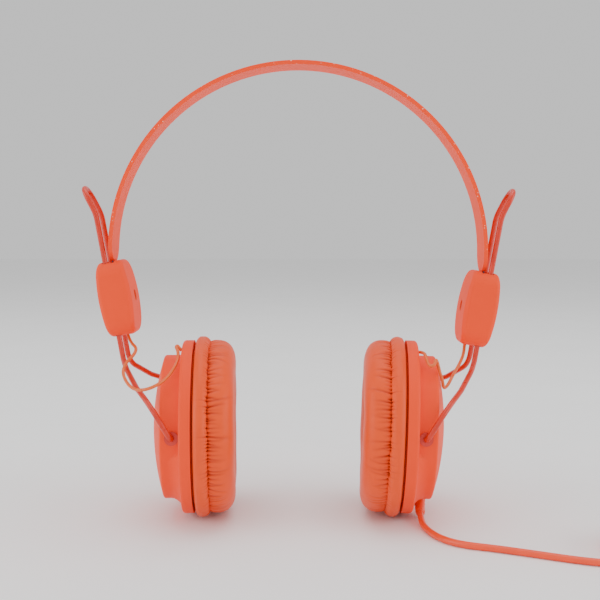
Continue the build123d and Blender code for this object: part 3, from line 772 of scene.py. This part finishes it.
class HEADPHONES_OT_cushions(bpy.types.Operator):
    """Sew the two gathered ear cushions"""

    bl_idname = "headphones.cushions"
    bl_label = "Ear cushions"

    def execute(self, context):
        sizes = context.scene.headphone_sizes
        for seed, side in enumerate(SIDES, start=FIRST_SEED):
            cushion = self.cover(f"{side}_cushion", side, sizes, seed)
            dress(cushion, f"{side}_cup", "cushion_leatherette", f"{side}_cushion_cover")
        return {"FINISHED"}

    @staticmethod
    def section(lip):
        """The section in mm: from the seam over the crown and down the ear hole, then the lip."""
        wider = lip - LIP_RADIUS
        crown = [
            (31.5, -9.9), (31.8, -10.25), (32.15, -10.9), (32.4, -11.9), (32.5, -13.1),
            (32.4, -14.5), (32.0, -15.9), (31.2, -17.2), (29.9, -18.4), (28.0, -19.25),
            (26.0, -19.65), (24.0, -19.7), (22.0, -19.5), (20.0, -19.0), (18.2, -18.2),
            (16.6, -17.0), (15.4, -15.6), (14.7, -14.0), (14.4, -12.0), (14.25, -9.5),
            (EAR_HOLE, -7.0), (EAR_HOLE, -5.1),
        ]
        rest = [
            (15.0, -4.95), (20.0, -4.95), (26.0, -4.95), (30.0, -4.95), (31.6, -4.95),
            (32.8, -5.2), (33.6, -5.9), (33.98, -6.9), (34.0, -7.8), (33.8, -8.6),
            (33.4, -9.3), (32.8, -9.85), (32.2, -10.1), (31.7, -10.0),
        ]
        return [(radius + (wider if radius > 31 else 0), height)
                for radius, height in crown + rest]

    @staticmethod
    def resample(ring, spacing):
        """The section as a smooth closed curve, with close points near the seam."""
        points = np.array(ring)
        dense = []
        for index in range(len(points)):
            p0, p1, p2, p3 = (points[(index + k) % len(points)] for k in (-1, 0, 1, 2))
            for t in np.linspace(0, 1, 24, endpoint=False):
                square = (2 * p0 - 5 * p1 + 4 * p2 - p3) * t**2
                cube = (3 * p1 - p0 - 3 * p2 + p3) * t**3
                dense.append(0.5 * (2 * p1 + (p2 - p0) * t + square + cube))
        dense = np.array(dense + [dense[0]])
        run = np.concatenate([[0], np.cumsum(np.linalg.norm(np.diff(dense, axis=0), axis=1))])
        total = run[-1]
        crown_run, lip_run = 9, 5       # millimetres on each side of the seam
        places = np.concatenate([
            np.arange(0, crown_run, spacing),
            np.arange(crown_run, total - lip_run, 3 * spacing),
            np.arange(total - lip_run, total, spacing),
        ])
        section = np.stack([np.interp(places, run, dense[:, k]) for k in (0, 1)], axis=1)
        return section, places, total

    @staticmethod
    def folds(run, total, turn, sizes, seed):
        """How far each point sinks in the folds, puffs out between them and leaves the seam."""
        dice = random.Random(seed)
        gaps = [dice.uniform(0.55, 1.55) for _ in range(sizes.gathers)]
        scale = 2 * math.pi / sum(gaps)
        on_crown = (run < total / 2)[:, None]
        crown = np.where(run < total / 2, run, 0.0)[:, None]
        lip = np.where(run < total / 2, 0.0, total - run)[:, None]
        sink = np.zeros((len(run), len(turn)))
        nearest = np.full(len(turn), 9.0)
        wander = np.zeros(len(turn))
        place = 0.0
        for gap in gaps:
            place += gap * scale
            depth = sizes.gather_depth / MM * dice.uniform(0.45, 1.4)
            reach = dice.choice(FOLD_REACHES) * dice.uniform(0.9, 1.5)
            slant, curl = dice.uniform(-0.12, 0.12), dice.uniform(-0.03, 0.03)
            arc = (np.mod(turn - place + math.pi, 2 * math.pi) - math.pi) * FOLD_RING
            nearest = np.minimum(nearest, np.abs(arc))
            wander += dice.uniform(-0.32, 0.32) * np.exp(-(arc / 1.1) ** 2)
            centre = arc[None, :] - slant * crown - curl * crown**2
            width = FOLD_WIDTH + FOLD_SPREAD * crown
            fade = np.clip(1 - crown / reach, 0, 1) ** 1.2
            lip_fade = np.clip(1 - lip / (0.6 * reach), 0, 1) ** 1.5 * 0.75
            sink += depth * np.where(on_crown, fade, lip_fade) * np.exp(-(centre / width) ** 2)
        # The cover swells between folds, and the seam wanders only near itself
        puff = (1 - np.exp(-(nearest / 0.7) ** 2))[None, :]
        puff = puff * np.where(on_crown, np.clip(1 - crown / 4, 0, 1) * FOLD_PUFF[0],
                               np.clip(1 - lip / 2.5, 0, 1) * FOLD_PUFF[1])
        hold = np.where(on_crown, np.clip(1 - crown / 5, 0, 1), np.clip(1 - lip / 2, 0, 1))
        return FOLD_DEEPEST * np.tanh(sink / FOLD_DEEPEST), puff, wander[None, :] * hold

    def cover(self, name, side, sizes, seed):
        """The leatherette cover, gathered at its seam."""
        lip_radius = sizes.cushion_radius / MM
        spacing, steps = ((0.3, 1440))
        ring, run, total = self.resample(self.section(lip_radius), spacing)
        from_seam = np.minimum(run, total - run)
        turn = np.linspace(0, 2 * math.pi, steps, endpoint=False)
        sink, puff, wander = self.folds(run, total, turn, sizes, seed)
        ahead = np.roll(ring, -1, axis=0) - np.roll(ring, 1, axis=0)
        normal = np.stack([-ahead[:, 1], ahead[:, 0]], axis=1)
        normal /= np.linalg.norm(normal, axis=1)[:, None]
        widest = np.argmax(ring[:, 0])
        if normal[widest] @ (ring[widest] - ring.mean(axis=0)) < 0:
            normal = -normal
        # Soft, uneven stuffing: a few slow waves around the cushion, none in the ear hole or on
        # the flat back
        slow = sum(STUFFING_WAVE * np.sin(k * turn + seed * 1.7 * k) for k in (2, 3, 5, 9))
        seen = np.clip((ring[:, 0] - EAR_HOLE - 2) / 8, 0, 1) * (ring[:, 1] < -5.6)
        move = (puff - sink) + slow[None, :] * seen[:, None]
        radius = ring[:, 0][:, None] + normal[:, 0][:, None] * move
        radius = np.minimum(radius, lip_radius + 0.02)
        # The skin stays off the foam at the seam
        near_seam = (ring[:, 0] > SEAM_FLOOR + 0.05) & (from_seam < 1.2)
        radius[near_seam] = np.maximum(radius[near_seam], SEAM_FLOOR)
        height = ring[:, 1][:, None] + normal[:, 1][:, None] * move + wander
        points = np.stack([radius * np.cos(turn), radius * np.sin(turn), height], axis=2)
        cushion = add_piece(name, points.reshape(-1, 3),
                            grid_faces(len(ring), steps, close_rows=True), cup_matrix(side))
        # Painted shade: the colour darkens in the folds and along the seam line itself, where shadow falls
        seam = np.exp(-((from_seam / 0.35) ** 2))[:, None]
        shade = np.clip(sink * 1.5 + 0.85 * seam, 0, 1)
        attribute = cushion.data.attributes.new("fold", "FLOAT", "POINT")
        attribute.data.foreach_set("value", shade.astype(np.float32).ravel())
        return cushion


class HEADPHONES_OT_housings(bpy.types.Operator):
    """Turn the domed rear housings, with the flare under each"""

    bl_idname = "headphones.housings"
    bl_label = "Rear housings"

    def execute(self, context):
        for side in SIDES:
            housing = self.shell(f"{side}_housing", side)
            dress(housing, f"{side}_cup", "soft_touch_plastic", f"{side}_rear_housing")
        return {"FINISHED"}

    @staticmethod
    def shell(name, side):
        """One housing: dome, rounded corner, wall, and a concave flare that meets the plate."""
        dome_radius, dome_rise, top, wall_radius = 26.2, 3.95, 11.0, 27.0
        ball = (dome_radius**2 + dome_rise**2) / (2 * dome_rise)
        radii = [dome_radius * k / 14 for k in range(15)]
        dome = [(r, top - ball + math.sqrt(ball**2 - r**2)) for r in radii]
        corner = [(26.62, 6.93), (26.9, 6.65), (wall_radius, 6.3)]
        wall = [(wall_radius, h) for h in (5.6, 5.0, 4.6, 4.2, 3.8, 3.4, 3.0, 2.6, 2.2, 1.8, 1.4,
                                           1.1, 0.8, 0.55, 0.35, 0.2, 0.05)]
        inner = [(25.4, 0.05), (25.4, 5.4), (24.6, 5.5), (12.0, 8.6), (0.0, 9.4)]

        def flare(radius, height, turn):
            """The radius of a point: more on the wall below the sloping edge of the flare."""
            if radius < wall_radius or height > FLARE_HEIGHT:
                return radius
            below = -math.degrees(math.asin(math.sin(turn)))
            edge = FLARE_EDGE[0] + (FLARE_EDGE[1] - FLARE_EDGE[0]) * height / FLARE_HEIGHT
            share = min(1.0, max(0.0, (below - edge) / FLARE_SOFTNESS))
            share = share * share * (3 - 2 * share)
            arc = (1 - height / FLARE_HEIGHT) ** 2
            return radius + FLARE_REACH * arc * share

        return lathe(name, dome + corner + wall + inner, cup_matrix(side), 480, flare)


class HEADPHONES_OT_frame_finish(bpy.types.Operator):
    """Give every piece of the frame its finish and smooth shading"""

    bl_idname = "headphones.frame_finish"
    bl_label = "Frame finishes"

    def execute(self, context):
        slots = {part["node"]: part["material_slot"] for part in frame["record"]["subparts"]}
        for name, piece in frame["nodes"].items():
            piece.data.materials.clear()
            piece.data.materials.append(material_for(slots[name]))
            piece.data.polygons.foreach_set("use_smooth", [True] * len(piece.data.polygons))
            piece.data.set_sharp_from_angle(angle=math.radians(SHARP_EDGE))
            piece.data.update()
            if name.endswith("_cushion_foam"):
                # The foam settles a little under its cover, so it never shows in a fold
                settled = piece.modifiers.new("settled", "DISPLACE")
                settled.mid_level = 0
                settled.strength = -0.5 * MM
            if name.endswith(("_outer_shell", "_inner_shell")):
                # Softened edges leave a fine parting line where the two shells meet
                parting = piece.modifiers.new("parting_line", "BEVEL")
                parting.width = 0.22 * MM
                parting.segments = 2
                parting.limit_method = "ANGLE"
                parting.angle_limit = math.radians(50)
        return {"FINISHED"}


OPERATORS = (
    HEADPHONES_OT_stage, HEADPHONES_OT_cable, HEADPHONES_OT_leads, HEADPHONES_OT_cushions,
    HEADPHONES_OT_housings, HEADPHONES_OT_frame_finish,
)


class HEADPHONES_PT_panel(bpy.types.Panel):
    """Lists the steps and the settings in the sidebar"""

    bl_label = "Headphones"
    bl_idname = "HEADPHONES_PT_panel"
    bl_space_type = "VIEW_3D"
    bl_region_type = "UI"
    bl_category = "Headphones"

    def draw(self, context):
        for operator in OPERATORS:
            self.layout.operator(operator.bl_idname)
        for group in (context.scene.headphone_finish, context.scene.headphone_sizes):
            for setting in group.__annotations__:
                self.layout.prop(group, setting)


CLASSES = (HeadphoneFinish, HeadphoneSizes, *OPERATORS, HEADPHONES_PT_panel)


def register():
    """Make the classes and the settings known to Blender."""
    for each in CLASSES:
        bpy.utils.register_class(each)
    bpy.types.Scene.headphone_finish = bpy.props.PointerProperty(type=HeadphoneFinish)
    bpy.types.Scene.headphone_sizes = bpy.props.PointerProperty(type=HeadphoneSizes)


def unregister():
    """Take them away again."""
    del bpy.types.Scene.headphone_sizes
    del bpy.types.Scene.headphone_finish
    for each in reversed(CLASSES):
        bpy.utils.unregister_class(each)


def main():
    """Build everything in order."""
    register()
    for operator in OPERATORS:
        group, action = operator.bl_idname.split(".")
        getattr(getattr(bpy.ops, group), action)()


if __name__ == "__main__":
    main()
